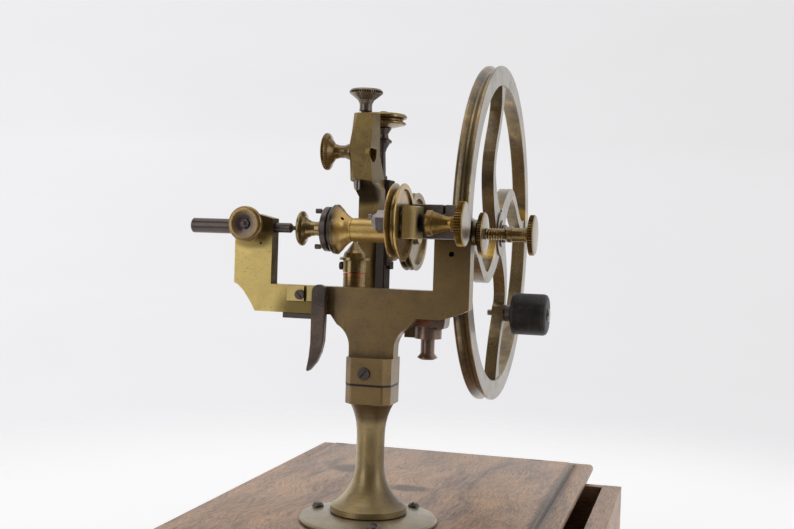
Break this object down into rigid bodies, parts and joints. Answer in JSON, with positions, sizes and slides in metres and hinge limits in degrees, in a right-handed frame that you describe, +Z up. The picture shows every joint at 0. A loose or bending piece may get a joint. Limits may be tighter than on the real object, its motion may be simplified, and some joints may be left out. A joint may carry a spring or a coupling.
{
  "type": "watchmakers lathe",
  "caption": "Brass hand-cranked topping lathe for watch wheels: a Y frame on a turned pillar with live spindle, centres, pulleys and large spoked hand wheel, on a wooden drawer box.",
  "frame": {"origin": "on the turned pillar's vertical axis, at the underside of the wooden box", "axes": "+X along the spindle towards the knurled centre screw, +Y back towards the hand wheel, +Z up"},
  "size_m": [0.2053, 0.3146, 0.2933],
  "materials": {
    "brass": "worn satin",
    "aged_brass": "tarnished satin",
    "steel": "worn satin",
    "dark_steel": "browned",
    "rusty_steel": "rusted",
    "copper": "satin",
    "walnut": "old wax",
    "black_grip": "worn matt"
  },
  "bodies": {
    "stand": {"box_bottom": "walnut", "box_left_wall": "walnut", "box_near_wall": "walnut", "box_far_wall": "walnut", "box_top": "walnut", "base_flange": "aged_brass", "flange_screws": "steel", "pillar": "aged_brass", "pillar_collar": "aged_brass", "frame_socket": "aged_brass", "socket_screws": "steel", "frame_plate": "brass", "under_lug": "rusty_steel", "hook_pivot": "steel", "idler_bracket": "steel", "bearing_block": "brass", "idler_shaft": "steel", "rear_bed": "aged_brass", "post_base": "aged_brass", "post_washer": "copper", "rear_standard": "aged_brass", "head_pin": "steel", "rear_column": "dark_steel", "wheel_arm": "aged_brass", "wheel_axle": "steel"},
    "drawer": {"drawer_front": "walnut", "drawer_near_side": "walnut", "drawer_far_side": "walnut", "drawer_back": "walnut", "drawer_floor": "walnut", "drawer_knob": "aged_brass"},
    "tailstock": {"left_arm": "brass", "arm_clamp_plates": "brass", "arm_clamp_screw": "steel", "arm_gib": "dark_steel"},
    "runner": {"left_runner": "dark_steel"},
    "clamp_knob": {"runner_knob": "brass", "runner_knob_stud": "dark_steel"},
    "hook": {"hook_lever": "dark_steel"},
    "spindle": {"main_spindle": "brass", "mushroom_nut": "brass", "cutter_ring": "steel", "spindle_bell": "brass", "drive_pulley": "aged_brass"},
    "idler": {"idler_pulley": "brass"},
    "idler_screw": {"idler_knob": "aged_brass"},
    "centre": {"centre_screw": "aged_brass"},
    "locking_nut": {"lock_nut": "aged_brass"},
    "post": {"post_centre": "brass", "post_screw": "dark_steel"},
    "head_screw": {"top_knob": "aged_brass"},
    "side_screw": {"side_knob": "aged_brass"},
    "upright_spindle": {"rear_spindle": "dark_steel", "grooved_disc": "aged_brass"},
    "wheel": {"hand_wheel": "brass", "handle_pin": "steel"},
    "grip": {"handle_grip": "black_grip"},
    "stud": {"under_stud": "rusty_steel"}
  },
  "joints": [
    {"name": "drawer_slide", "type": "slide", "parent": "stand", "child": "drawer", "axis": [1, 0, 0], "range_m": [-0.024, 0.09]},
    {"name": "tailstock_slide", "type": "slide", "parent": "stand", "child": "tailstock", "axis": [1, 0, 0], "range_m": [-0.012, 0]},
    {"name": "runner_slide", "type": "slide", "parent": "tailstock", "child": "runner", "axis": [1, 0, 0], "range_m": [-0.02, 0]},
    {"name": "clamp_knob_turn", "type": "hinge", "parent": "tailstock", "child": "clamp_knob", "pos_m": [-0.05935, -0.004, 0.1958], "axis": [0, 1, 0], "range_deg": [-180, 180]},
    {"name": "hook_swing", "type": "hinge", "parent": "stand", "child": "hook", "pos_m": [-0.0239, -0.004, 0.1634], "axis": [0, 1, 0], "range_deg": [-12, 55]},
    {"name": "spindle_turn", "type": "hinge", "parent": "stand", "child": "spindle", "pos_m": [0, 0, 0.1946], "axis": [1, 0, 0], "continuous": true},
    {"name": "idler_turn", "type": "hinge", "parent": "stand", "child": "idler", "pos_m": [0.02, -0.036, 0.1981], "axis": [1, 0, 0], "continuous": true},
    {"name": "idler_screw_turn", "type": "hinge", "parent": "stand", "child": "idler_screw", "pos_m": [0.03, -0.036, 0.1981], "axis": [1, 0, 0], "range_deg": [-360, 360]},
    {"name": "centre_turn", "type": "hinge", "parent": "stand", "child": "centre", "pos_m": [0.0444, 0, 0.1946], "axis": [1, 0, 0], "range_deg": [-360, 360]},
    {"name": "locking_nut_turn", "type": "hinge", "parent": "stand", "child": "locking_nut", "pos_m": [0.0464, 0, 0.1946], "axis": [1, 0, 0], "range_deg": [-360, 360]},
    {"name": "post_lift", "type": "slide", "parent": "stand", "child": "post", "axis": [0, 0, 1], "range_m": [0, 0.004]},
    {"name": "head_screw_turn", "type": "hinge", "parent": "stand", "child": "head_screw", "pos_m": [-0.0164, 0.029, 0.2511], "axis": [0, 0, 1], "range_deg": [-360, 360]},
    {"name": "side_screw_turn", "type": "hinge", "parent": "stand", "child": "side_screw", "pos_m": [-0.0224, 0.029, 0.2326], "axis": [1, 0, 0], "range_deg": [-360, 360]},
    {"name": "upright_spindle_turn", "type": "hinge", "parent": "stand", "child": "upright_spindle", "pos_m": [-0.0152, 0.0555, 0.2206], "axis": [0, 0, 1], "continuous": true},
    {"name": "wheel_turn", "type": "hinge", "parent": "stand", "child": "wheel", "pos_m": [0.0242, 0.16, 0.1962], "axis": [1, 0, 0], "continuous": true},
    {"name": "grip_turn", "type": "hinge", "parent": "wheel", "child": "grip", "pos_m": [0.0342, 0.18282, 0.14823], "axis": [1, 0, 0], "continuous": true},
    {"name": "stud_turn", "type": "hinge", "parent": "stand", "child": "stud", "pos_m": [0.0227, 0.0106, 0.1466], "axis": [0, 0, 1], "range_deg": [-180, 180]}
  ]
}
